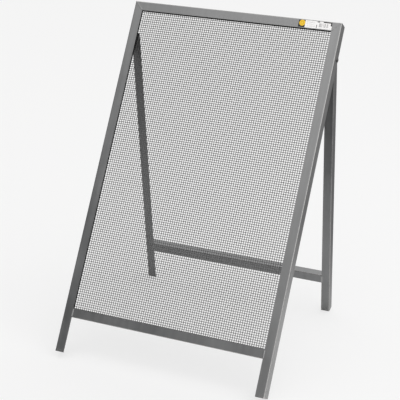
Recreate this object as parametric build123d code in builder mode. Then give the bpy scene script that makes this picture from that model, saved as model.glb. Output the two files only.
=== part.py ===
from build123d import *
import math
import os

# Standing sand screen: a welded angle-iron frame with woven wire mesh, held up by a
# hinged rear stand of two angle legs and a crossbar. It stands open, as in use.
# Millimetres. +Z up, +Y towards the back, X across. The origin lies on the ground,
# in the middle of the footprint.

# ---- driving dimensions ----
frame_width = 600.0
frame_length = 1000.0
face_width = 25.0            # leg of every angle bar that faces forward
stile_depth = 35.0           # leg of the frame's angle bars that runs back
leg_depth = 25.0             # leg of the rear stand's angle bars that runs back
wall = 3.0
heel_radius = 2.5
root_radius = 2.0
toe_radius = 0.8
bottom_rail_start = 97.0     # lower edge of the bottom rail above the foot of the stile

frame_lean = 29.5            # front frame, degrees back from upright
stand_lean = 9.8            # rear stand, degrees forward from upright

mesh_pitch = 6.1
wire_diameter = 1.6
strip_clear = 2.3            # between the strips or the wires and the bars around them
strip_thickness = 3.0
cross_strip_overhang = 1.2    # of the top and bottom strips past the inner edges of the bars
side_strip_setback = 1.0      # of the side strips behind them
side_tacks = 7
cross_tacks = 4
tack_spacing = 130.0
tack_radius = 4.0
tack_height = 0.5
tack_taper = 45.0

pivot_from_top = 95.0
pivot_depth = 26.0           # behind the front face of the frame
pivot_behind_leg_face = 10.5
side_gap = 0.4               # between the stile's side and the leg's side
stop_gap = 0.3               # at the open stop

bolt_diameter = 6.0
bolt_clearance = 0.05        # radial
bolt_head_flats = 10.0
bolt_head_height = 2.5
washer_diameter = 11.0
washer_thickness = 1.6
nut_height = 8.0
nut_collar = 2.0
nut_collar_radius = 4.2
nut_clearance = 0.02
bolt_tail = 2.0
bolt_tip_chamfer = 0.6
washer_gap = 0.1
corner_round = 1.14          # of half the flats, where the rounding of the hexagon begins
corner_taper = 6.0

crossbar_start = 97.5        # lower edge of the crossbar above the foot of the leg

bead_width = 5.0
bead_height = 1.1
stand_bead_height = 0.8
seam_width = 3.0
seam_height = 0.4

label_width = 92.0
label_height = 20.0
label_thickness = 0.2
label_corner = 1.0
label_along = 987.0
label_right_gap = 25.5       # from the label to the right side of the frame

# ---- derived dimensions ----
half_width = frame_width / 2
inner_half = half_width - wall
opening_half = half_width - face_width
tongue_length = face_width - wall
cross_strip_width = face_width - wall - strip_clear + cross_strip_overhang
side_strip_width = face_width - wall - strip_clear - side_strip_setback
wire_radius = wire_diameter / 2
warp_depth = wall + wire_radius
weft_depth = wall + wire_diameter + wire_radius
strip_front = wall + 2 * wire_diameter
strip_back = strip_front + strip_thickness
pivot_along_stile = frame_length - pivot_from_top
leg_half = inner_half - side_gap
leg_opening_half = leg_half - face_width
spread_angle = frame_lean + stand_lean

lean = math.radians(frame_lean)
stand = math.radians(stand_lean)
spread = math.radians(spread_angle)

frame_up = Vector(0, math.sin(lean), math.cos(lean))
frame_back = Vector(0, math.cos(lean), -math.sin(lean))
stand_up = Vector(0, -math.sin(stand), math.cos(stand))
stand_back = Vector(0, math.cos(stand), math.sin(stand))
across = Vector(1, 0, 0)

# The frame rests on the back lower edges of its stiles, the stand on its front lower edges.
heel_to_face = frame_back * -stile_depth
pivot_from_heel = heel_to_face + frame_up * pivot_along_stile + frame_back * pivot_depth
leg_foot_to_pivot = (pivot_from_heel.Z - pivot_behind_leg_face * math.sin(stand)) / math.cos(stand)
leg_drop = stand_up * leg_foot_to_pivot + stand_back * pivot_behind_leg_face
stand_foot_y = pivot_from_heel.Y - leg_drop.Y
footprint_depth = stile_depth * math.cos(lean) + stand_foot_y + leg_depth * math.cos(stand)
front_heel_y = stile_depth * math.cos(lean) - footprint_depth / 2

frame_foot = Vector(0, front_heel_y, 0) + heel_to_face
stand_foot = Vector(0, front_heel_y + stand_foot_y, 0)
pivot_point = Vector(0, front_heel_y, 0) + pivot_from_heel

# The top edge of each leg meets the retaining strip when the stand is open, and stops it.
stop_reach = pivot_depth - strip_back - stop_gap
stop_height = (stop_reach - pivot_behind_leg_face * math.cos(spread)) / math.sin(spread)
leg_length = leg_foot_to_pivot + stop_height


def frame_point(x, along, depth):
    """Point on the front frame, measured from the middle of its lower front edge."""
    return frame_foot + across * x + frame_up * along + frame_back * depth


def stand_point(x, along, depth):
    """Point on the rear stand, measured from the middle of its lower front edge."""
    return stand_foot + across * x + stand_up * along + stand_back * depth


def angle_profile(depth):
    """Section of an angle bar: heel at the origin, face along X, the other leg along Y."""
    with BuildSketch(mode=Mode.PRIVATE) as profile:
        Rectangle(face_width, wall, align=(Align.MIN, Align.MIN))
        Rectangle(wall, depth, align=(Align.MIN, Align.MIN))
        heel = profile.vertices().sort_by_distance((0, 0))[0]
        fillet(heel, heel_radius)
        root = profile.vertices().sort_by_distance((wall, wall))[0]
        fillet(root, root_radius)
        face_toe = profile.vertices().sort_by_distance((face_width, wall))[0]
        side_toe = profile.vertices().sort_by_distance((wall, depth))[0]
        fillet([face_toe, side_toe], toe_radius)
    return profile.sketch


def mirrored(piece):
    """The same piece on the other side."""
    with BuildPart() as other:
        mirror(piece, about=Plane.YZ)
    return other.part


pieces = {}

# ---- front frame: stiles and rails ----
with BuildPart() as left_stile:
    with BuildSketch(Plane(frame_point(-half_width, 0, 0), across, frame_up)):
        add(angle_profile(stile_depth))
    extrude(amount=frame_length)
    mitre = Plane(frame_point(-half_width, frame_length, 0), frame_back, -across - frame_up)
    split(bisect_by=mitre, keep=Keep.TOP)
    with BuildSketch(Plane(frame_point(-half_width, pivot_along_stile, pivot_depth), frame_back, across)):
        Circle(bolt_diameter / 2 + bolt_clearance)
    extrude(amount=wall, mode=Mode.SUBTRACT)
pieces["left_stile"] = left_stile.part
pieces["right_stile"] = mirrored(left_stile.part)

with BuildPart() as top_rail:
    with BuildSketch(Plane(frame_point(-half_width, frame_length, 0), -frame_up, across)):
        add(angle_profile(stile_depth))
    extrude(amount=frame_width)
    for side in (-1, 1):
        corner = frame_point(side * half_width, frame_length, 0)
        split(bisect_by=Plane(corner, frame_back, across * -side + frame_up), keep=Keep.TOP)
pieces["top_rail"] = top_rail.part


def tongue_profile(depth):
    """Outline of the end of a rail's rear leg, which runs on behind the upright beside it."""
    with BuildSketch(mode=Mode.PRIVATE) as outline:
        Rectangle(tongue_length, depth - wall, align=(Align.MIN, Align.MIN))
        corner = outline.vertices().sort_by_distance((tongue_length, 0))[0]
        chamfer(corner, root_radius)
    return outline.sketch


with BuildPart() as bottom_rail:
    with BuildSketch(Plane(frame_point(opening_half, bottom_rail_start, 0), frame_up, -across)):
        add(angle_profile(stile_depth))
    extrude(amount=2 * opening_half)
    for side in (-1, 1):
        tongue_corner = frame_point(side * opening_half, bottom_rail_start, wall)
        with BuildSketch(Plane(tongue_corner, across * side, frame_up * side)):
            add(tongue_profile(stile_depth))
        extrude(amount=side * wall)
pieces["bottom_rail"] = bottom_rail.part

# ---- screen: two layers of wires and the flat strips that hold them ----
screen_bottom = bottom_rail_start + wall + strip_clear
screen_top = frame_length - wall - strip_clear
screen_half = inner_half - strip_clear
screen_middle = (screen_bottom + screen_top) / 2
warp_count = math.floor((2 * screen_half - wire_diameter) / mesh_pitch) + 1
weft_count = math.floor((screen_top - screen_bottom - wire_diameter) / mesh_pitch) + 1

with BuildPart() as mesh_long_wires:
    with BuildSketch(Plane(frame_point(0, screen_bottom, warp_depth), across, frame_up)):
        with GridLocations(mesh_pitch, mesh_pitch, warp_count, 1):
            Circle(wire_radius)
    extrude(amount=screen_top - screen_bottom)
pieces["mesh_long_wires"] = mesh_long_wires.part

with BuildPart() as mesh_cross_wires:
    with BuildSketch(Plane(frame_point(-screen_half, screen_middle, weft_depth), frame_up, across)):
        with GridLocations(mesh_pitch, mesh_pitch, weft_count, 1):
            Circle(wire_radius)
    extrude(amount=2 * screen_half)
pieces["mesh_cross_wires"] = mesh_cross_wires.part

with BuildPart() as left_strip:
    with BuildSketch(Plane(frame_point(-screen_half, screen_bottom, strip_front), across, frame_up)):
        Rectangle(side_strip_width, strip_thickness, align=(Align.MIN, Align.MIN))
    extrude(amount=screen_top - screen_bottom)
pieces["left_strip"] = left_strip.part
pieces["right_strip"] = mirrored(left_strip.part)

cross_strip_half = screen_half - side_strip_width
for name, along in (("top_strip", screen_top - cross_strip_width), ("bottom_strip", screen_bottom)):
    with BuildPart() as cross_strip:
        with BuildSketch(Plane(frame_point(-cross_strip_half, along, strip_back), frame_up, across)):
            Rectangle(cross_strip_width, strip_thickness, align=(Align.MIN, Align.MIN))
        extrude(amount=2 * cross_strip_half)
    pieces[name] = cross_strip.part

tack_row = screen_half - side_strip_width / 2
tack_lines = [(tack_row, screen_middle, side_tacks, True), (-tack_row, screen_middle, side_tacks, True)]
tack_lines += [(0, screen_top - cross_strip_width / 2, cross_tacks, False)]
tack_lines += [(0, screen_bottom + cross_strip_width / 2, cross_tacks, False)]
with BuildPart() as strip_tack_welds:
    for x, along, count, upright in tack_lines:
        with BuildSketch(Plane(frame_point(x, along, strip_back), across, -frame_back)):
            columns, rows = (1, count) if upright else (count, 1)
            with GridLocations(tack_spacing, tack_spacing, columns, rows):
                Circle(tack_radius)
        extrude(amount=-tack_height, taper=tack_taper)
pieces["strip_tack_welds"] = strip_tack_welds.part


# ---- weld beads on the visible joints ----
def bead_profile(width, height):
    """Low rounded cap of a weld bead, flat side on the local X axis."""
    with BuildSketch(mode=Mode.PRIVATE) as cap:
        with BuildLine():
            ThreePointArc((-width / 2, 0), (0, height), (width / 2, 0))
            Line((width / 2, 0), (-width / 2, 0))
        make_face()
    return cap.sketch


with BuildPart() as bottom_left_weld:
    bead_start = frame_point(-opening_half, bottom_rail_start + heel_radius, 0)
    with BuildSketch(Plane(bead_start, -across, frame_up)):
        add(bead_profile(bead_width, bead_height))
    extrude(amount=face_width - heel_radius - toe_radius)
pieces["bottom_left_weld"] = bottom_left_weld.part
pieces["bottom_right_weld"] = mirrored(bottom_left_weld.part)

with BuildPart() as top_left_weld:
    diagonal = (across - frame_up).normalized()
    seam_start = frame_point(-half_width + heel_radius, frame_length - heel_radius, 0)
    with BuildSketch(Plane(seam_start, (across + frame_up).normalized(), diagonal)):
        add(bead_profile(seam_width, seam_height))
    extrude(amount=(face_width - heel_radius - toe_radius) * math.sqrt(2))
pieces["top_left_weld"] = top_left_weld.part
pieces["top_right_weld"] = mirrored(top_left_weld.part)

# ---- generic label on the top rail ----
label_middle_x = half_width - label_right_gap - label_width / 2
with BuildPart() as label:
    with BuildSketch(Plane(frame_point(label_middle_x, label_along, 0), across, -frame_back)):
        RectangleRounded(label_width, label_height, label_corner)
    extrude(amount=label_thickness)
pieces["label"] = label.part

# ---- rear stand: legs and crossbar ----
with BuildPart() as left_leg:
    with BuildSketch(Plane(stand_point(-leg_half, 0, 0), across, stand_up)):
        add(angle_profile(leg_depth))
    extrude(amount=leg_length)
    leg_pivot = Plane(
        stand_point(-leg_half, leg_foot_to_pivot, pivot_behind_leg_face), stand_back, across
    )
    with BuildSketch(leg_pivot):
        Circle(bolt_diameter / 2 + bolt_clearance)
    extrude(amount=wall, mode=Mode.SUBTRACT)
pieces["left_leg"] = left_leg.part
pieces["right_leg"] = mirrored(left_leg.part)

crossbar_top = crossbar_start + face_width
with BuildPart() as crossbar:
    with BuildSketch(Plane(stand_point(-leg_opening_half, crossbar_top, 0), -stand_up, across)):
        add(angle_profile(leg_depth))
    extrude(amount=2 * leg_opening_half)
    for side in (-1, 1):
        tongue_corner = stand_point(side * leg_opening_half, crossbar_top, wall)
        with BuildSketch(Plane(tongue_corner, across * side, stand_up * side)):
            add(tongue_profile(leg_depth))
        extrude(amount=-side * wall)
pieces["crossbar"] = crossbar.part

with BuildPart() as crossbar_left_weld:
    bead_start = stand_point(-leg_opening_half, crossbar_start + toe_radius, 0)
    with BuildSketch(Plane(bead_start, -across, stand_up)):
        add(bead_profile(bead_width, stand_bead_height))
    extrude(amount=face_width - heel_radius - toe_radius)
pieces["crossbar_left_weld"] = crossbar_left_weld.part
pieces["crossbar_right_weld"] = mirrored(crossbar_left_weld.part)

# ---- pivots: hexagon bolt, washer and self-locking nut on each side ----
washer_start = wall + side_gap + wall + washer_gap
nut_start = washer_start + washer_thickness
bolt_length = nut_start + nut_height + bolt_tail


def pivot_plane(inward):
    """Plane square to the left pivot's axis, this far in from the outer side of the stile."""
    centre = pivot_point + across * (inward - half_width)
    return Plane(centre, frame_back, across)


with BuildPart() as left_pivot_bolt:
    with BuildSketch(pivot_plane(0)):
        RegularPolygon(bolt_head_flats / 2, 6, major_radius=False)
    extrude(amount=-bolt_head_height)
    with BuildSketch(pivot_plane(0)):
        Circle(bolt_head_flats / 2 * corner_round)
    extrude(amount=-bolt_head_height, taper=corner_taper, mode=Mode.INTERSECT)
    with BuildSketch(pivot_plane(0)):
        Circle(bolt_diameter / 2)
    extrude(amount=bolt_length)
    chamfer(left_pivot_bolt.edges().sort_by(Axis.X)[-1], bolt_tip_chamfer)
pieces["left_pivot_bolt"] = left_pivot_bolt.part
pieces["right_pivot_bolt"] = mirrored(left_pivot_bolt.part)

with BuildPart() as left_pivot_washer:
    with BuildSketch(pivot_plane(washer_start)):
        Circle(washer_diameter / 2)
        Circle(bolt_diameter / 2 + bolt_clearance, mode=Mode.SUBTRACT)
    extrude(amount=washer_thickness)
pieces["left_pivot_washer"] = left_pivot_washer.part
pieces["right_pivot_washer"] = mirrored(left_pivot_washer.part)

with BuildPart() as left_pivot_nut:
    with BuildSketch(pivot_plane(nut_start)):
        RegularPolygon(bolt_head_flats / 2, 6, major_radius=False)
    extrude(amount=nut_height - nut_collar)
    with BuildSketch(pivot_plane(nut_start)):
        Circle(bolt_head_flats / 2 * corner_round)
    extrude(amount=nut_height - nut_collar, taper=corner_taper, mode=Mode.INTERSECT)
    with BuildSketch(pivot_plane(nut_start + nut_height - nut_collar)):
        Circle(nut_collar_radius)
    extrude(amount=nut_collar)
    with BuildSketch(pivot_plane(nut_start)):
        Circle(bolt_diameter / 2 + nut_clearance)
    extrude(amount=nut_height, mode=Mode.SUBTRACT)
pieces["left_pivot_nut"] = left_pivot_nut.part
pieces["right_pivot_nut"] = mirrored(left_pivot_nut.part)

os.makedirs("parts", exist_ok=True)
for name, piece in pieces.items():
    piece.label = name
    export_step(piece, f"parts/{name}.step")

print("ground spread", round(stand_foot_y, 1), "leg length", round(leg_length, 1))
print("leg foot to pivot", round(leg_foot_to_pivot, 2), "stop height", round(stop_height, 2))
print("wires", warp_count, "long", weft_count, "across")
print("pivot", [round(c, 3) for c in pivot_point])
folded_leg_end = pivot_along_stile - leg_foot_to_pivot
print("folded leg end above rail", round(folded_leg_end - bottom_rail_start - wall, 2))
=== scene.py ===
# %% [markdown]
# # A standing sand screen
# Sand thrown at this leaning screen falls through the mesh, and the stones roll off its front.
# The real one is a welded frame of angle iron, a woven wire mesh held behind it by flat
# strips, and a rear stand that folds forward on two bolts.
#
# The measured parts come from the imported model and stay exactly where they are. This script
# gives them their finishes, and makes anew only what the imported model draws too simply:
# the weave of the mesh and the welds.

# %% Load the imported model
from math import cos, pi, radians, sin

import bpy
from mathutils import Matrix, Vector


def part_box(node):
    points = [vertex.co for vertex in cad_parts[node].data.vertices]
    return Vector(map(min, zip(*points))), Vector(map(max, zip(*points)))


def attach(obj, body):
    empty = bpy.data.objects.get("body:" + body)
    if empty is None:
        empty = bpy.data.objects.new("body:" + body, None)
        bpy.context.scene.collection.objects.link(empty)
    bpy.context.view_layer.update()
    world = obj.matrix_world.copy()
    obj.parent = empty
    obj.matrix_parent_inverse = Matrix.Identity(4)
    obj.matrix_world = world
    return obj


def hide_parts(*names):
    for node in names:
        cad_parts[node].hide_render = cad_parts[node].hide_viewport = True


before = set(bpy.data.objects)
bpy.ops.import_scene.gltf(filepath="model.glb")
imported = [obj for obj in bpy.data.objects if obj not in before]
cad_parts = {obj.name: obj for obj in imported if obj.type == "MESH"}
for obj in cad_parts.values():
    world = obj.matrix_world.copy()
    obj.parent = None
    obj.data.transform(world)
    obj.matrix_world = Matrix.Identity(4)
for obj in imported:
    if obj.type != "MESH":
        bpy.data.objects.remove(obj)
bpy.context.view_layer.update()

# %% [markdown]
# ## Two tilted workbenches
# The front frame leans back and the rear stand leans forward. It is far easier to model on a
# flat bench, with X across, Y up the bars and Z towards the viewer, and then to tip the
# finished piece into place with one matrix. `on_frame` and `on_stand` are those matrices.
# Materials use the same two tilts, so that a streak can run along a bar.

# %% Tilts and sizes in metres
MM = 0.001
FRAME_TILT = radians(90 - 29.5)
STAND_TILT = radians(90 + 9.8)
FRAME_HALF_WIDTH = 300 * MM
FRAME_LENGTH = 1000 * MM
STILE_DEPTH = 35 * MM
FACE_WIDTH = 25 * MM
LEG_HALF_WIDTH = 296.6 * MM
BOTTOM_RAIL_EDGE = 97 * MM
CROSSBAR_EDGE = 122.5 * MM
opening_edge = FRAME_HALF_WIDTH - FACE_WIDTH
opening_top = FRAME_LENGTH - FACE_WIDTH
print("opening", 2 * opening_edge, "wide, from", BOTTOM_RAIL_EDGE + FACE_WIDTH, "to", opening_top)

# %% Benches
stile_low, stile_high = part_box("left_stile")
leg_low, leg_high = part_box("left_leg")
frame_foot = Vector((0, stile_low.y, STILE_DEPTH * cos(FRAME_TILT)))
stand_foot = Vector((0, leg_high.y - FACE_WIDTH * sin(STAND_TILT), 0))


def bench(foot, tilt):
    """Matrix that tips a piece from the flat bench to its place."""
    return Matrix.Translation(foot) @ Matrix.Rotation(tilt, 4, "X")


on_frame = bench(frame_foot, FRAME_TILT)
on_stand = bench(stand_foot, STAND_TILT)
print("frame foot", [round(c, 4) for c in frame_foot])
print("stand foot", [round(c, 4) for c in stand_foot])

# %% [markdown]
# ## The camera
# A long lens stands to the right of the screen and a little above it, so that the top rail,
# the outer side of the right stile and the rear stand all show.

# %% Camera
camera_data = bpy.data.cameras.new("camera")
camera_data.sensor_width = 36
camera_data.lens = 103.09
camera = bpy.data.objects.new("camera", camera_data)
bpy.context.scene.collection.objects.link(camera)
camera.location = (1.0792, -2.7322, 1.4914)
camera.rotation_euler = (radians(69.598), radians(-1.635), radians(22.428))
bpy.context.scene.camera = camera
print("camera at", tuple(round(c, 2) for c in camera.location))

# %% [markdown]
# ## Node helpers
# A material is a small network of nodes. These helpers add a node, set its sockets and join
# it to others in one line, so that the cells below read like a list of what the finish does.

# %% Add and join nodes


def join_or_set(tree, socket, value):
    """Feeds a socket from another node's output, or gives it a number or a colour."""
    if isinstance(value, bpy.types.NodeSocket):
        tree.links.new(value, socket)
    else:
        socket.default_value = value


def add_node(tree, kind, sockets=None, **settings):
    """New node in the tree, with its settings and sockets given."""
    node = tree.nodes.new(kind)
    for key, value in settings.items():
        setattr(node, key, value)
    for key, value in (sockets or {}).items():
        join_or_set(tree, node.inputs[key], value)
    return node


print("helpers:", join_or_set.__name__, add_node.__name__)

# %% Numbers


def maths(tree, operation, *values):
    """Output of a Math node."""
    node = add_node(tree, "ShaderNodeMath", dict(enumerate(values)), operation=operation)
    return node.outputs[0]


def fade(tree, value, low, high):
    """0 below `low`, 1 above `high`, smooth between them. `low` may be the larger one."""
    sockets = {"Value": value, "From Min": low, "From Max": high}
    node = add_node(tree, "ShaderNodeMapRange", sockets, interpolation_type="SMOOTHSTEP")
    return node.outputs[0]


print("helpers:", maths.__name__, fade.__name__)

# %% Colours


def grey(value, warmth=0.0):
    """A grey as a colour. Warmth lifts red and lowers blue a little."""
    return (value * (1 + warmth), value, value * (1 - warmth), 1)


def blend_colours(tree, share, first, second, blend_type="MIX"):
    """Output colour of a Mix node."""
    node = add_node(tree, "ShaderNodeMix", data_type="RGBA", blend_type=blend_type)
    for index, value in ((0, share), (6, first), (7, second)):
        join_or_set(tree, node.inputs[index], value)
    return node.outputs[2]


print("a warm grey:", grey(0.5, 0.02))

# %% Patterns


def noise(tree, place, scale, detail=3.0, roughness=0.5):
    """Soft random value from 0 to 1 over the surface."""
    sockets = {"Vector": place, "Scale": scale, "Detail": detail, "Roughness": roughness}
    return add_node(tree, "ShaderNodeTexNoise", sockets).outputs["Fac"]


def stretched(tree, place, scale):
    """The same place, squeezed by three factors, so that a pattern runs along a bar."""
    return add_node(tree, "ShaderNodeMapping", {"Vector": place, "Scale": scale}).outputs["Vector"]


print("helpers:", noise.__name__, stretched.__name__)

# %% [markdown]
# ## Studio: a pale floor and a soft room
# Satin paint shows the room as much as its own colour, so the room matters more than lamps.
# This one is bright above and to the right and dim below on the left, with a soft border
# between the two. The top of the leaning frame mirrors the bright side and its feet mirror
# the dim side, so the bars darken downwards and to the left as they do in a real room.
# A Light Path node lets the camera see an even pale floor. What the bars mirror is brighter
# near the stand than further off, as if the light fell on the floor in one wide soft pool.

# %% Soft room
BRIGHT_SIDE = Vector((0.68, 0.20, 0.70)).normalized()
BRIGHT, DIM = grey(1.05, 0.005), grey(0.05, -0.12)
BORDER_DIM, BORDER_BRIGHT = -0.09, 0.14
PALE = grey(0.90)

world = bpy.data.worlds.new("soft_room")
world.use_nodes = True
tree = world.node_tree
direction = add_node(tree, "ShaderNodeTexCoord").outputs["Generated"]
facing_sockets = {0: direction, 1: BRIGHT_SIDE}
facing = add_node(tree, "ShaderNodeVectorMath", facing_sockets, operation="DOT_PRODUCT")
brightness = fade(tree, facing.outputs["Value"], BORDER_DIM, BORDER_BRIGHT)
room = blend_colours(tree, brightness, DIM, BRIGHT)
seen = add_node(tree, "ShaderNodeLightPath").outputs["Is Camera Ray"]
background = tree.nodes["Background"]
join_or_set(tree, background.inputs["Color"], blend_colours(tree, seen, room, PALE))
bpy.context.scene.world = world
bpy.context.scene.view_settings.view_transform = "Standard"
print("room is bright towards", tuple(round(c, 2) for c in BRIGHT_SIDE))

# %% Pale floor
POOL_MIDDLE = (0.15, -0.1, 0)
POOL_EDGE, POOL_CORE = 1.1, 0.3
OUTSIDE_POOL, INSIDE_POOL = grey(0.30), grey(0.85)
FLOOR_SEEN, FLOOR_GLOW, NO_GLOW = grey(0.30), grey(0.64), grey(0.0)
FLOOR_SIZE, FLOOR_DROP = 60, 0.5 * MM

bpy.ops.object.select_all(action="DESELECT")
bpy.ops.mesh.primitive_plane_add(size=FLOOR_SIZE, location=(0, 0, -FLOOR_DROP))
floor = bpy.context.object
floor.name = "floor"
floor_paint = bpy.data.materials.new("floor_paint")
floor_paint.use_nodes = True
tree = floor_paint.node_tree
floor_shader = tree.nodes["Principled BSDF"]
seen = add_node(tree, "ShaderNodeLightPath").outputs["Is Camera Ray"]
floor_place = add_node(tree, "ShaderNodeTexCoord").outputs["Object"]
pool_sockets = {0: floor_place, 1: POOL_MIDDLE}
from_middle = add_node(tree, "ShaderNodeVectorMath", pool_sockets, operation="DISTANCE")
in_pool = fade(tree, from_middle.outputs["Value"], POOL_EDGE, POOL_CORE)
pool = blend_colours(tree, in_pool, OUTSIDE_POOL, INSIDE_POOL)
floor_colour = blend_colours(tree, seen, pool, FLOOR_SEEN)
glow = blend_colours(tree, seen, NO_GLOW, FLOOR_GLOW)
join_or_set(tree, floor_shader.inputs["Base Color"], floor_colour)
join_or_set(tree, floor_shader.inputs["Emission Color"], glow)
floor_shader.inputs["Emission Strength"].default_value = 1.0
floor_shader.inputs["Roughness"].default_value = 1.0
floor_shader.inputs["Specular IOR Level"].default_value = 0.0
floor.data.materials.append(floor_paint)
print("floor", tuple(floor.dimensions))

# %% Softbox


def softbox(name, place, target, size, watts):
    """Square area light that hangs at `place` and faces `target`."""
    light_data = bpy.data.lights.new(name, "AREA")
    light_data.size = size
    light_data.energy = watts
    light = bpy.data.objects.new(name, light_data)
    bpy.context.scene.collection.objects.link(light)
    light.location = place
    light.rotation_euler = (Vector(target) - Vector(place)).to_track_quat("-Z", "Y").to_euler()
    return light


overhead = softbox("overhead", place=(1.2, 0.4, 3.2), target=(0, 0, 0.3), size=2.5, watts=14)
print("softbox", overhead.name, overhead.data.energy, "W")

# %% [markdown]
# ## Shared effects as node groups
# Every painted bar needs the same effects with its own values: uneven dipped paint, and
# paint rubbed thin on the outer corner. Each is a node group with named sockets, made once.

# %% Empty group
VECTOR, FLOAT, COLOUR = "NodeSocketVector", "NodeSocketFloat", "NodeSocketColor"


def new_group(name, inputs, outputs):
    """Empty shader node group with the named sockets. Returns the group and its two ends."""
    group = bpy.data.node_groups.new(name, "ShaderNodeTree")
    for socket_name, kind, value in inputs:
        socket = group.interface.new_socket(socket_name, in_out="INPUT", socket_type=kind)
        if value is not None:
            socket.default_value = value
    for socket_name, kind in outputs:
        group.interface.new_socket(socket_name, in_out="OUTPUT", socket_type=kind)
    return group, group.nodes.new("NodeGroupInput"), group.nodes.new("NodeGroupOutput")


print("socket kinds:", VECTOR, FLOAT, COLOUR)

# %% Group: dipped paint
RUNS_SCALE = (90, 5, 90)
RUNS_SHARE = 0.5
SPECKLE_SHARE = 0.35

dipped_paint, given, result = new_group(
    "dipped_paint",
    [("Place", VECTOR, None), ("Colour", COLOUR, (0.2, 0.2, 0.2, 1)), ("Cloud", FLOAT, 0.1)],
    [("Colour", COLOUR), ("Orange peel", FLOAT), ("Gloss change", FLOAT)],
)
tree = dipped_paint
place = given.outputs["Place"]
clouds = noise(tree, place, scale=7, detail=4)
runs = noise(tree, stretched(tree, place, RUNS_SCALE), scale=1, detail=2)
speckle = noise(tree, place, scale=900, detail=2)
uneven = maths(tree, "ADD", clouds, maths(tree, "MULTIPLY", runs, RUNS_SHARE))
uneven = maths(tree, "ADD", uneven, maths(tree, "MULTIPLY", speckle, SPECKLE_SHARE))
# Each noise averages 0.5, so taking off half the sum of the shares leaves an average of 0.
uneven = maths(tree, "SUBTRACT", uneven, 0.5 * (1 + RUNS_SHARE + SPECKLE_SHARE))
factor = maths(tree, "ADD", maths(tree, "MULTIPLY", uneven, given.outputs["Cloud"]), 1.0)
shade = add_node(tree, "ShaderNodeCombineColor", {0: factor, 1: factor, 2: factor}).outputs[0]
painted = blend_colours(tree, 1.0, given.outputs["Colour"], shade, "MULTIPLY")
tree.links.new(painted, result.inputs["Colour"])
orange_peel = noise(tree, place, scale=420, detail=2)
tree.links.new(orange_peel, result.inputs["Orange peel"])
tree.links.new(uneven, result.inputs["Gloss change"])
print("group", dipped_paint.name, "with", len(tree.nodes), "nodes")

# %% Group: rubbed corner
# Both are shares of the reach: no rubbing beyond the first, all of it within the second.
RUB_END, RUB_FULL = 1.3, 0.6

rubbed_corner, given, result = new_group(
    "rubbed_corner",
    [("Place", VECTOR, None), ("Distance", FLOAT, 1.0), ("Reach", FLOAT, 0.002)],
    [("Mask", FLOAT)],
)
tree = rubbed_corner
broken = noise(tree, given.outputs["Place"], scale=160, detail=5, roughness=0.65)
reach = maths(tree, "MULTIPLY", given.outputs["Reach"], maths(tree, "MULTIPLY", broken, 2.0))
mask = fade(tree, maths(tree, "DIVIDE", given.outputs["Distance"], reach), RUB_END, RUB_FULL)
tree.links.new(mask, result.inputs["Mask"])
print("group", rubbed_corner.name, "with", len(tree.nodes), "nodes")

# %% [markdown]
# ## Paint for the angle bars
# The bars are dipped in grey satin enamel. It is a little uneven, thin and bright on the
# rolled outer corner, and darker towards the ground, with painted shade in near black on
# the cut edge that faces the opening. A bar needs to know where its own corner runs, so the
# function takes the corner's distance from the middle plane, for an upright bar, or its
# height up the bench, for a cross bar.

# %% Starting a material


def bench_place(tree, foot, tilt):
    """Object coordinates turned back to the bench: across, up the bar, towards the viewer."""
    source = add_node(tree, "ShaderNodeTexCoord").outputs["Object"]
    sockets = {"Vector": source, "Location": foot, "Rotation": (tilt, 0, 0)}
    return add_node(tree, "ShaderNodeMapping", sockets, vector_type="TEXTURE").outputs["Vector"]


def group_node(tree, group, sockets):
    """The group as one node in this material."""
    node = tree.nodes.new("ShaderNodeGroup")
    node.node_tree = group
    for key, value in sockets.items():
        join_or_set(tree, node.inputs[key], value)
    return node


def new_finish(name):
    """Material with a plain Principled shader. Returns the material, its tree and the shader."""
    material = bpy.data.materials.new(name)
    material.use_nodes = True
    return material, material.node_tree, material.node_tree.nodes["Principled BSDF"]


print("materials so far:", [m.name for m in bpy.data.materials if m.use_nodes])

# %% Wear on a bar, darker towards the ground, with painted shade on its inner edge
RUB_REACH = 1.6 * MM
BARE_GREY = grey(0.62, 0.02)
# The colour is darkened over the lowest half metre, most near the ground.
LOW_DARK_GREY = grey(0.10, 0.03)
LOW_DARK_TOP, LOW_DARK_FULL, LOW_DARK_SHARE = 500 * MM, 20 * MM, 0.1
SCRAPED_GREY = grey(0.6, 0.03)
SCRAPE_TOP, SCRAPE_SHARE = 16 * MM, 0.7
# Painted shade: the cut inner edge of each bar is made near black, as the gap behind it is in
# shade.
INNER_EDGE_SHADE_GREY = grey(0.012)
INNER_EDGE_SHADE_SHARE = 0.95


def corner_distance(tree, inwards, depth):
    """Distance from the line of the outer corner."""
    flat = maths(tree, "POWER", maths(tree, "ABSOLUTE", inwards), 2.0)
    deep = maths(tree, "POWER", maths(tree, "ABSOLUTE", depth), 2.0)
    return maths(tree, "SQRT", maths(tree, "ADD", flat, deep))


def darker_low_and_scraped(tree, place, height, colour):
    """Darker over the lowest half metre, and bright scrapes where the foot stands."""
    low_dark = maths(tree, "MULTIPLY", fade(tree, height, LOW_DARK_TOP, LOW_DARK_FULL), LOW_DARK_SHARE)
    darker_low = blend_colours(tree, low_dark, colour, LOW_DARK_GREY)
    foot_zone = fade(tree, height, SCRAPE_TOP, 0.0)
    scratches = fade(tree, noise(tree, place, scale=240, detail=4, roughness=0.7), 0.5, 0.62)
    scraped = maths(tree, "MULTIPLY", foot_zone, scratches)
    scraped = maths(tree, "MULTIPLY", scraped, SCRAPE_SHARE)
    return blend_colours(tree, scraped, darker_low, SCRAPED_GREY)


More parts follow.
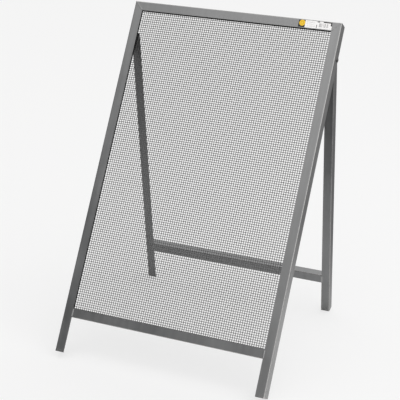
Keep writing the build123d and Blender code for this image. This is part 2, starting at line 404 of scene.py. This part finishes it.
def shaded_inner_edge(tree, inwards, depth, colour):
    """Painted shade: near black on the cut edge that faces the opening, where the gap behind the
    bar lies in shade.
    """
    behind_face = fade(tree, depth, -0.3 * MM, -1.2 * MM)
    at_edge = fade(tree, inwards, FACE_WIDTH - 2 * MM, FACE_WIDTH - 1 * MM)
    inner_edge_shade = maths(tree, "MULTIPLY", maths(tree, "MULTIPLY", behind_face, at_edge), INNER_EDGE_SHADE_SHARE)
    return blend_colours(tree, inner_edge_shade, colour, INNER_EDGE_SHADE_GREY)


print("a rubbed corner reaches about", RUB_REACH, "m over the bar's face")

# %% Bar paint
SATIN = 0.34
GLOSS_VARIATION = 0.25
RUBBED_SHARE, RUBBED_SHINE = 0.6, 0.08
PEEL_STRENGTH, PEEL_HEIGHT = 0.15, 0.4 * MM


def bar_paint(name, foot, tilt, colour, corner_x=None, corner_y=None):
    """Grey enamel for an upright bar (corner_x) or a cross bar (corner_y)."""
    material, tree, shader = new_finish(name)
    place = bench_place(tree, foot, tilt)
    axes = add_node(tree, "ShaderNodeSeparateXYZ", {0: place}).outputs
    if corner_x is not None:
        inwards = maths(tree, "SUBTRACT", corner_x, maths(tree, "ABSOLUTE", axes["X"]))
    else:
        inwards = maths(tree, "SUBTRACT", corner_y, axes["Y"])

    paint = group_node(tree, dipped_paint, {"Place": place, "Colour": colour, "Cloud": 0.5})
    from_corner = corner_distance(tree, inwards, axes["Z"])
    corner = {"Place": place, "Distance": from_corner, "Reach": RUB_REACH}
    rubbed = group_node(tree, rubbed_corner, corner).outputs["Mask"]
    bare = maths(tree, "MULTIPLY", rubbed, RUBBED_SHARE)
    thin = blend_colours(tree, bare, paint.outputs["Colour"], BARE_GREY)
    worn = darker_low_and_scraped(tree, place, axes["Y"], thin)
    with_inner_edge_shade = shaded_inner_edge(tree, inwards, axes["Z"], worn)

    roughness = maths(tree, "MULTIPLY", paint.outputs["Gloss change"], GLOSS_VARIATION)
    roughness = maths(tree, "ADD", roughness, SATIN)
    shine = maths(tree, "MULTIPLY", rubbed, RUBBED_SHINE)
    roughness = maths(tree, "SUBTRACT", roughness, shine)
    height = paint.outputs["Orange peel"]
    peel = {"Strength": PEEL_STRENGTH, "Distance": PEEL_HEIGHT, "Height": height}
    bump = add_node(tree, "ShaderNodeBump", peel)
    join_or_set(tree, shader.inputs["Base Color"], with_inner_edge_shade)
    join_or_set(tree, shader.inputs["Roughness"], roughness)
    join_or_set(tree, shader.inputs["Normal"], bump.outputs["Normal"])
    shader.inputs["Metallic"].default_value = 0.95
    return material


print("satin roughness", SATIN)

# %% One paint for each place of the corner
frame_grey = grey(0.37, -0.004)
# Painted shade: the stand's grey is a darker copy of the frame's grey, as the stand faces down and
# stands behind the mesh.
shaded_stand_grey = grey(0.28, -0.012)
frame_bench = (frame_foot, FRAME_TILT, frame_grey)
stand_bench = (stand_foot, STAND_TILT, shaded_stand_grey)
stile_paint = bar_paint("stile_paint", *frame_bench, corner_x=FRAME_HALF_WIDTH)
top_rail_paint = bar_paint("top_rail_paint", *frame_bench, corner_y=FRAME_LENGTH)
bottom_rail_paint = bar_paint("bottom_rail_paint", *frame_bench, corner_y=BOTTOM_RAIL_EDGE)
leg_paint = bar_paint("leg_paint", *stand_bench, corner_x=LEG_HALF_WIDTH)
crossbar_paint = bar_paint("crossbar_paint", *stand_bench, corner_y=CROSSBAR_EDGE)
print("bar paints:", [m.name for m in bpy.data.materials if m.name.endswith("_paint")])

# %% [markdown]
# ## Other finishes
# The strips are dark from the dip and made nearly black as painted shade behind the bars, and
# the bolts are dull plated steel. The wires are dull grey steel, with painted shade in black
# where they run in behind the bars.

# %% Painted shade on the edge of the mesh
# Painted shade: the wires turn black where they run in behind the bars and lie in their shade.
OPENING_SHADE_BLACK = grey(0.008)
OPENING_SHADE_START, OPENING_SHADE_FULL, OPENING_SHADE_SHARE = 5 * MM, 3 * MM, 0.9


def painted_opening_shade(tree, place, colour):
    """Painted shade: black along the sides and the top of the opening, where the bars shade the
    wires.
    """
    axes = add_node(tree, "ShaderNodeSeparateXYZ", {0: place}).outputs
    sideways = maths(tree, "ABSOLUTE", axes["X"])
    beside = fade(tree, sideways, opening_edge - OPENING_SHADE_START, opening_edge - OPENING_SHADE_FULL)
    above = fade(tree, axes["Y"], opening_top - OPENING_SHADE_START, opening_top - OPENING_SHADE_FULL)
    black = maths(tree, "MULTIPLY", maths(tree, "MAXIMUM", beside, above), OPENING_SHADE_SHARE)
    return blend_colours(tree, black, colour, OPENING_SHADE_BLACK)


print("painted shade starts", OPENING_SHADE_START, "m inside the opening")

# %% Metal finish
METAL_GLOSS_VARIATION = 0.2
GRAIN_SCALE, GRAIN_HEIGHT = 600, 0.3 * MM


def metal_finish(name, colour, cloud, metallic, roughness, grain_strength, edge_shade=False):
    """Plain metal or thin paint with a fine grain, and painted shade in black along the opening if
    asked.
    """
    material, tree, shader = new_finish(name)
    place = bench_place(tree, frame_foot, FRAME_TILT)
    paint = group_node(tree, dipped_paint, {"Place": place, "Colour": colour, "Cloud": cloud})
    finish_colour = paint.outputs["Colour"]
    if edge_shade:
        finish_colour = painted_opening_shade(tree, place, finish_colour)
    grain = noise(tree, place, GRAIN_SCALE)
    grain_sockets = {"Strength": grain_strength, "Distance": GRAIN_HEIGHT, "Height": grain}
    bump = add_node(tree, "ShaderNodeBump", grain_sockets)
    gloss_change = maths(tree, "MULTIPLY", paint.outputs["Gloss change"], METAL_GLOSS_VARIATION)
    join_or_set(tree, shader.inputs["Base Color"], finish_colour)
    join_or_set(tree, shader.inputs["Roughness"], maths(tree, "ADD", gloss_change, roughness))
    join_or_set(tree, shader.inputs["Normal"], bump.outputs["Normal"])
    shader.inputs["Metallic"].default_value = metallic
    shader.inputs["Specular IOR Level"].default_value = 0.3
    return material


print("grain is about", 1 / GRAIN_SCALE, "m wide")

# %% Strips, wires, bolts and welds
# The strips' near-black colour is partly their own dark coat and partly painted shade for the gap
# behind the bars.
strip_paint = metal_finish(
    "strip_paint", grey(0.012), cloud=0.3, metallic=0.0, roughness=0.5, grain_strength=0.15
)
# The wires get painted shade in black along the opening.
wire_steel = metal_finish(
    "wire_steel",
    grey(0.13),
    cloud=0.5,
    metallic=0.3,
    roughness=0.45,
    grain_strength=0.1,
    edge_shade=True,
)
weld_paint = metal_finish(
    "weld_paint", grey(0.38), cloud=0.5, metallic=0.85, roughness=0.36, grain_strength=0.3
)
bolt_steel = metal_finish(
    "bolt_steel", grey(0.16, 0.02), cloud=0.4, metallic=0.8, roughness=0.4, grain_strength=0.1
)
print("metals:", strip_paint.name, wire_steel.name, weld_paint.name, bolt_steel.name)

# %% [markdown]
# ## Printed label
# The real label is a strip of coated paper with a yellow sign on black, a few lines of small
# print and a block of vertical bars. Here it is drawn as a generic one: a plain disc, grey
# dashes and bars, and no letters. Every shape is a mask made from the distance along and up
# the label, so it needs no picture.

# %% Masks on the label
LABEL_LEFT = 182.5 * MM
LABEL_LOW = 977 * MM
PRINT_BLUR = 0.3 * MM
DISC_BLUR = 0.4 * MM


def between(tree, value, low, high):
    """1 where the value lies between low and high, with a soft edge."""
    rise = fade(tree, value, low - PRINT_BLUR, low + PRINT_BLUR)
    fall = fade(tree, value, high + PRINT_BLUR, high - PRINT_BLUR)
    return maths(tree, "MULTIPLY", rise, fall)


def patch(tree, across, up, left, right, low, high):
    """Mask of a rectangle on the label, in millimetres from its lower left corner."""
    wide = between(tree, across, left * MM, right * MM)
    return maths(tree, "MULTIPLY", wide, between(tree, up, low * MM, high * MM))


def squared_distance(tree, value, centre):
    """Square of the distance from a line across or up the label."""
    away = maths(tree, "ABSOLUTE", maths(tree, "SUBTRACT", value, centre * MM))
    return maths(tree, "POWER", away, 2.0)


def disc(tree, across, up, centre, radius):
    """Mask of a round spot, in millimetres."""
    sideways = squared_distance(tree, across, centre[0])
    upwards = squared_distance(tree, up, centre[1])
    away = maths(tree, "SQRT", maths(tree, "ADD", sideways, upwards))
    return fade(tree, away, radius * MM + DISC_BLUR, radius * MM - DISC_BLUR)


print("label starts", LABEL_LEFT, "right of the middle and", LABEL_LOW, "up the frame")

# %% Places of the print
# Rectangles are left, right, low and high, in millimetres on the label.
PRINT_ROWS = ((22, 45, 14.5, 16.5), (20, 42, 9.5, 11), (24, 46, 4, 5.5))
BAR_BLOCK = (56, 82, 4, 15)
# The last two marks are dark lines along the top and the right edge of the label.
DARK_MARKS = (
    (-1, 18.3, -1, 21),
    (49.8, 51.6, 1.5, 10),
    (51.5, 58, 17.2, 19.6),
    (68, 91, 17.4, 21),
    (88.8, 93, 10, 21),
)
DISC_CENTRE = (10.2, 11.8)
DISC_RINGS = (
    (8.4, (0.92, 0.58, 0.02, 1)),
    (4.6, (0.62, 0.36, 0.01, 1)),
    (3.0, (0.95, 0.64, 0.04, 1)),
)
print("label has", len(PRINT_ROWS), "rows,", len(DARK_MARKS), "dark marks and one disc")

# %% Label print
PAPER, GREY_PRINT, LABEL_BLACK = grey(0.95, 0.01), grey(0.2), grey(0.012)
DASH_SCALE, BAR_SCALE = (420, 1, 1), (330, 1, 1)
PRINT_SHARE, BAR_SHARE = 0.4, 0.6

label_print, tree, shader = new_finish("label_print")
place = bench_place(tree, frame_foot, FRAME_TILT)
axes = add_node(tree, "ShaderNodeSeparateXYZ", {0: place}).outputs
across = maths(tree, "SUBTRACT", axes["X"], LABEL_LEFT)
up = maths(tree, "SUBTRACT", axes["Y"], LABEL_LOW)
dash_noise = noise(tree, stretched(tree, place, DASH_SCALE), scale=1, detail=1)
bar_noise = noise(tree, stretched(tree, place, BAR_SCALE), scale=1, detail=1)
dashes = fade(tree, dash_noise, 0.42, 0.5)
bars = fade(tree, bar_noise, 0.45, 0.55)
rows = patch(tree, across, up, *PRINT_ROWS[0])
for rectangle in PRINT_ROWS[1:]:
    rows = maths(tree, "MAXIMUM", rows, patch(tree, across, up, *rectangle))
small_print = maths(tree, "MULTIPLY", maths(tree, "MULTIPLY", rows, dashes), PRINT_SHARE)
bar_block = maths(tree, "MULTIPLY", patch(tree, across, up, *BAR_BLOCK), bars)
bar_block = maths(tree, "MULTIPLY", bar_block, BAR_SHARE)
colour = blend_colours(tree, small_print, PAPER, GREY_PRINT)
colour = blend_colours(tree, bar_block, colour, GREY_PRINT)
for rectangle in DARK_MARKS:
    colour = blend_colours(tree, patch(tree, across, up, *rectangle), colour, LABEL_BLACK)
for radius, yellow in DISC_RINGS:
    spot_mask = disc(tree, across, up, DISC_CENTRE, radius)
    colour = blend_colours(tree, spot_mask, colour, yellow)
print("label colours mixed with", len(tree.nodes), "nodes")

# %% Label surface
LABEL_GLOW = 0.26
FILM_ROUGHNESS, FILM_VARIATION = 0.22, 0.15
WRINKLE_STRENGTH, WRINKLE_HEIGHT = 0.1, 0.5 * MM

join_or_set(tree, shader.inputs["Base Color"], colour)
# Painted light: the label glows a little in its own colours, though it is no lamp.
join_or_set(tree, shader.inputs["Emission Color"], colour)
shader.inputs["Emission Strength"].default_value = LABEL_GLOW
film_noise = noise(tree, place, scale=60, detail=2)
gloss_change = maths(tree, "MULTIPLY", film_noise, FILM_VARIATION)
gloss = maths(tree, "ADD", gloss_change, FILM_ROUGHNESS)
join_or_set(tree, shader.inputs["Roughness"], gloss)
wrinkle_noise = noise(tree, place, scale=90, detail=2)
wrinkle_sockets = {
    "Strength": WRINKLE_STRENGTH,
    "Distance": WRINKLE_HEIGHT,
    "Height": wrinkle_noise,
}
wrinkles = add_node(tree, "ShaderNodeBump", wrinkle_sockets)
join_or_set(tree, shader.inputs["Normal"], wrinkles.outputs["Normal"])
print(label_print.name, "has", len(tree.nodes), "nodes")

# %% [markdown]
# ## Woven wire
# In a plain weave every wire passes over one crossing wire and under the next. Its real
# shape is nearly flat over a crossing and straight between two. Drawing 244 such wires by
# hand would be endless, but one wave of one wire is four short tubes. An Array modifier
# repeats the wave along the wire, and a second one repeats the wire. Wires of the opposite
# phase are a second set, one pitch along.

# %% Sizes of the weave
PITCH = 6.1 * MM
WIRE_RADIUS = 0.8 * MM
WIRE_SIDES = 6
CREST_HALF = 0.85 * MM
MESH_DEPTH = 4.6 * MM
MESH_MIDDLE = 548.5 * MM
LONG_WIRES = 97
CROSS_WIRES = 147
MERGE_WITHIN = 0.05 * MM
print("mesh", (LONG_WIRES - 1) * PITCH, "wide and", (CROSS_WIRES - 1) * PITCH, "long")

# %% Repeating a piece


def select_none():
    """Nothing selected, in object mode."""
    bpy.ops.object.select_all(action="DESELECT")


def use_array(piece, count, offset):
    """Repeats the piece along a constant offset, merges what touches, and applies it."""
    array = piece.modifiers.new("array", "ARRAY")
    array.count = count
    array.use_relative_offset = False
    array.use_constant_offset = True
    array.constant_offset_displace = offset
    array.use_merge_vertices = True
    array.merge_threshold = MERGE_WITHIN
    bpy.ops.object.modifier_apply(modifier="array")


print("points closer than", MERGE_WITHIN, "m are merged")

# %% One wave, repeated


def wave_of_wires(name, start, waves, wires, crest_first):
    """Wires of one phase, every second one of a layer, on the flat bench along Y."""
    height = WIRE_RADIUS if crest_first else -WIRE_RADIUS
    select_none()
    bpy.ops.mesh.primitive_circle_add(
        vertices=WIRE_SIDES,
        radius=WIRE_RADIUS,
        fill_type="NOTHING",
        location=(start[0], start[1] - CREST_HALF, height - MESH_DEPTH),
        rotation=(pi / 2, 0, 0),
    )
    piece = bpy.context.object
    piece.name = name
    bpy.ops.object.transform_apply(location=True, rotation=True, scale=True)
    bpy.ops.object.mode_set(mode="EDIT")
    bpy.ops.mesh.select_all(action="SELECT")
    flat, slope = 2 * CREST_HALF, PITCH - 2 * CREST_HALF
    for along, rise in ((flat, 0), (slope, -2 * height), (flat, 0), (slope, 2 * height)):
        bpy.ops.mesh.extrude_edges_move(TRANSFORM_OT_translate={"value": (0, along, rise)})
    bpy.ops.object.mode_set(mode="OBJECT")
    use_array(piece, waves, (0, 2 * PITCH, 0))
    use_array(piece, wires, (2 * PITCH, 0, 0))
    return piece


print("one wave is", 2 * PITCH, "long and", 4 * WIRE_RADIUS, "high over both wires")

# %% Closed ends


def close_wires(piece, end):
    """Runs the wires on over their last crossing and closes both ends."""
    bpy.ops.object.mode_set(mode="EDIT")
    bpy.ops.mesh.select_all(action="DESELECT")
    bpy.ops.object.mode_set(mode="OBJECT")
    for vertex in piece.data.vertices:
        vertex.select = vertex.co.y > end - 2 * MERGE_WITHIN
    bpy.ops.object.mode_set(mode="EDIT")
    bpy.ops.mesh.select_mode(type="VERT")
    bpy.ops.mesh.extrude_edges_move(TRANSFORM_OT_translate={"value": (0, 2 * CREST_HALF, 0)})
    bpy.ops.mesh.select_all(action="SELECT")
    bpy.ops.mesh.fill_holes(sides=WIRE_SIDES)
    bpy.ops.mesh.select_all(action="SELECT")
    bpy.ops.mesh.normals_make_consistent(inside=False)
    bpy.ops.object.mode_set(mode="OBJECT")
    bpy.ops.object.shade_smooth_by_angle(angle=radians(50))


print("a wire runs", CREST_HALF, "m past its last crossing")

# %% A layer, and its place


def woven_layer(name, wires, crossings, crest_first, first_x, first_y):
    """Wires side by side along X, running along Y over `crossings` crossing wires."""
    waves = (crossings - 1) // 2
    one = wave_of_wires(name, (first_x, first_y), waves, (wires + 1) // 2, crest_first)
    other_start = (first_x + PITCH, first_y)
    other = wave_of_wires(name + "_other", other_start, waves, wires // 2, not crest_first)
    one.select_set(True)
    other.select_set(True)
    bpy.context.view_layer.objects.active = one
    bpy.ops.object.join()
    close_wires(one, first_y - CREST_HALF + waves * 2 * PITCH)
    return one


def settle(piece, matrix):
    """Moves the piece from the bench to its place and writes the place into its mesh."""
    select_none()
    piece.matrix_world = matrix
    piece.select_set(True)
    bpy.context.view_layer.objects.active = piece
    bpy.ops.object.transform_apply(location=True, rotation=True, scale=True)


long_start_x = -(LONG_WIRES - 1) / 2 * PITCH
long_start_y = MESH_MIDDLE - (CROSS_WIRES - 1) / 2 * PITCH
print("first crossing at", round(long_start_x, 4), round(long_start_y, 4))

# %% Long wires in two halves
LEFT_WIRES = 49
RIGHT_WIRES = LONG_WIRES - LEFT_WIRES
right_start_x = long_start_x + LEFT_WIRES * PITCH


def long_layer(name, wires, crest_first, start_x):
    """Wires that run up the frame, from this place across."""
    piece = woven_layer(name, wires, CROSS_WIRES, crest_first, start_x, long_start_y)
    settle(piece, on_frame)
    print(piece.name, len(piece.data.polygons), "faces")
    return piece


woven_left = long_layer("woven_long_left", LEFT_WIRES, True, long_start_x)
woven_right = long_layer("woven_long_right", RIGHT_WIRES, False, right_start_x)

# %% Cross wires in two halves
# They are made along Y like the others and turned a quarter to the left on the bench, so the
# first wire ends up lowest and every wire runs from right to left.
LOWER_WIRES = 74
UPPER_WIRES = CROSS_WIRES - LOWER_WIRES
upper_start = long_start_y + LOWER_WIRES * PITCH
quarter_turn = Matrix.Rotation(pi / 2, 4, "Z")


def cross_layer(name, wires, start_y):
    """Wires that run across, from this height up the bench."""
    piece = woven_layer(name, wires, LONG_WIRES, False, start_y, long_start_x)
    settle(piece, on_frame @ quarter_turn)
    print(piece.name, len(piece.data.polygons), "faces")
    return piece


woven_lower = cross_layer("woven_cross_lower", LOWER_WIRES, long_start_y)
woven_upper = cross_layer("woven_cross_upper", UPPER_WIRES, upper_start)

# %% Wires take the place of the straight ones
for piece, node in (
    (woven_left, "mesh_long_wires"),
    (woven_right, "mesh_long_wires"),
    (woven_lower, "mesh_cross_wires"),
    (woven_upper, "mesh_cross_wires"),
):
    piece.data.materials.clear()
    piece.data.materials.append(wire_steel)
    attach(piece, "front_frame")
    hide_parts(node)
    print(piece.name, "replaces", node)

# %% [markdown]
# ## Weld beads
# A hand-laid bead is a row of small overlapping scales. It could be drawn with bump alone,
# but its outline would stay straight, so each bead is a ring that is extruded in short
# steps, growing slowly and shrinking fast. Half of it is sunk in the bars.

# %% Rippled bead
SCALE_STEP = 1.6 * MM
BEAD_SIDES = 12
WAIST = 0.82
TIP = 0.5


def rippled_bead(name, length, width, height):
    """Bead along Y from the origin, on the flat bench."""
    select_none()
    bpy.ops.mesh.primitive_circle_add(
        vertices=BEAD_SIDES, radius=0.5, fill_type="NGON", rotation=(pi / 2, 0, 0)
    )
    bead = bpy.context.object
    bead.name = name
    bead.scale = (width * 0.5, height, 1)
    bpy.ops.object.transform_apply(location=True, rotation=True, scale=True)
    bpy.ops.object.mode_set(mode="EDIT")
    bpy.ops.mesh.select_all(action="SELECT")
    scales = round(length / SCALE_STEP)
    step = length / scales
    for number in range(scales):
        grow = 1 / TIP if number == 0 else 1 / WAIST
        shrink = WAIST if number < scales - 1 else TIP
        for share, factor in ((0.25, grow), (0.5, 1.0), (0.25, shrink)):
            bpy.ops.mesh.extrude_region_move(TRANSFORM_OT_translate={"value": (0, share * step, 0)})
            bpy.ops.transform.resize(value=(factor, 1, factor))
    bpy.ops.mesh.select_all(action="SELECT")
    bpy.ops.mesh.normals_make_consistent(inside=False)
    bpy.ops.object.mode_set(mode="OBJECT")
    bpy.ops.object.shade_smooth_by_angle(angle=radians(40))
    return bead


print("one scale is", SCALE_STEP, "long, and its waist is", WAIST, "of its width")

# %% Laying a bead


def lay_bead(name, matrix, start, heading, length, width, height, body):
    """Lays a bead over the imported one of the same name."""
    bead = rippled_bead("rippled_" + name, length, width, height)
    settle(bead, matrix @ Matrix.Translation(start) @ Matrix.Rotation(heading, 4, "Z"))
    bead.data.materials.append(weld_paint)
    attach(bead, body)
    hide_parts(name)
    print(bead.name, len(bead.data.polygons), "faces")


HEEL_RADIUS = 2.5 * MM
BEAD_INSET = 1.5 * MM
leg_opening = LEG_HALF_WIDTH - FACE_WIDTH
corner = FRAME_HALF_WIDTH - HEEL_RADIUS
straight_length = FACE_WIDTH - HEEL_RADIUS - BEAD_INSET
seam_length = straight_length * 2**0.5
print("straight beads", straight_length, "long, seams", round(seam_length, 4))

# %% Beads on the frame and the stand
for side, x_sign in (("left", -1), ("right", 1)):
    start = (x_sign * opening_edge, BOTTOM_RAIL_EDGE + HEEL_RADIUS, 0)
    size = (straight_length, 5 * MM, 1.1 * MM)
    lay_bead(f"bottom_{side}_weld", on_frame, start, 0, *size, "front_frame")

    start = (x_sign * leg_opening, CROSSBAR_EDGE - FACE_WIDTH + BEAD_INSET, 0)
    size = (straight_length, 5 * MM, 0.8 * MM)
    lay_bead(f"crossbar_{side}_weld", on_stand, start, 0, *size, "rear_stand")

    start = (x_sign * corner, FRAME_LENGTH - HEEL_RADIUS, 0)
    size = (seam_length, 3 * MM, 0.4 * MM)
    inwards_heading = radians(135) * x_sign
    lay_bead(f"top_{side}_weld", on_frame, start, inwards_heading, *size, "front_frame")

# %% [markdown]
# ## Tack welds
# The strips are fastened from behind with short spots of weld. One spot is a disc that is
# extruded and drawn in to a low dome, with the small crater that is left when the arc stops.

# %% One spot
SPOT_RADIUS = 4 * MM
SPOT_HEIGHT = 0.5 * MM
# Each step is a share of the height and a factor for the width. The last two make the crater.
DOME_STEPS = ((0.55, 0.93), (0.35, 0.78), (0.10, 0.6), (-0.25, 0.5), (-0.1, 0.4))

select_none()
bpy.ops.mesh.primitive_circle_add(vertices=16, radius=SPOT_RADIUS, fill_type="NGON")
spot = bpy.context.object
bpy.ops.object.mode_set(mode="EDIT")
bpy.ops.mesh.select_all(action="SELECT")
for rise, factor in DOME_STEPS:
    bpy.ops.mesh.extrude_region_move(TRANSFORM_OT_translate={"value": (0, 0, -rise * SPOT_HEIGHT)})
    bpy.ops.transform.resize(value=(factor, factor, 1))
bpy.ops.mesh.select_all(action="SELECT")
bpy.ops.mesh.normals_make_consistent(inside=False)
bpy.ops.object.mode_set(mode="OBJECT")
bpy.ops.object.shade_smooth_by_angle(angle=radians(60))
print("spot with", len(spot.data.polygons), "faces")

# %% Places of the spots
SPOT_SPACING = 130 * MM
STRIP_BACK = 9.2 * MM
SIDE_STRIP_MIDDLE = 285.35 * MM
TOP_STRIP_MIDDLE = 984.25 * MM
BOTTOM_STRIP_MIDDLE = 112.75 * MM

spot_places = []
for x in (-SIDE_STRIP_MIDDLE, SIDE_STRIP_MIDDLE):
    spot_places += [(x, MESH_MIDDLE + n * SPOT_SPACING) for n in range(-3, 4)]
for along in (TOP_STRIP_MIDDLE, BOTTOM_STRIP_MIDDLE):
    spot_places += [(n * SPOT_SPACING, along) for n in (-1.5, -0.5, 0.5, 1.5)]
print(len(spot_places), "spots")

# %% Copies, joined into one piece
TURN_BETWEEN_SPOTS = 0.7

spots = []
for number, (x, along) in enumerate(spot_places):
    copied = bpy.data.objects.new(f"tack_{number}", spot.data.copy())
    bpy.context.scene.collection.objects.link(copied)
    turn = Matrix.Rotation(number * TURN_BETWEEN_SPOTS, 4, "Z")
    settle(copied, on_frame @ Matrix.Translation((x, along, -STRIP_BACK)) @ turn)
    spots.append(copied)
bpy.data.objects.remove(spot)
select_none()
for copied in spots:
    copied.select_set(True)
bpy.context.view_layer.objects.active = spots[0]
bpy.ops.object.join()
tack_spots = spots[0]
tack_spots.name = "tack_spots"
tack_spots.data.materials.clear()
tack_spots.data.materials.append(weld_paint)
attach(tack_spots, "front_frame")
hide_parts("strip_tack_welds")
print(tack_spots.name, len(tack_spots.data.polygons), "faces")

# %% [markdown]
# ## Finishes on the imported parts
# Bars, strips, bolts and label are already the right shape. Each keeps its mesh and only has
# its material changed, which is picked by the part's name.

# %% Assign finishes


def finish_node(name, material):
    """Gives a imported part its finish."""
    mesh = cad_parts[name].data
    mesh.materials.clear()
    mesh.materials.append(material)


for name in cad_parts:
    if "weld" in name:
        finish_node(name, weld_paint)
    elif "_pivot_" in name:
        finish_node(name, bolt_steel)
    elif name.endswith("_strip"):
        finish_node(name, strip_paint)
    elif name.endswith("_stile"):
        finish_node(name, stile_paint)
    elif name.endswith("_leg"):
        finish_node(name, leg_paint)
finish_node("top_rail", top_rail_paint)
finish_node("bottom_rail", bottom_rail_paint)
finish_node("crossbar", crossbar_paint)
finish_node("label", label_print)
print("finished", len(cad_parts), "packed parts")
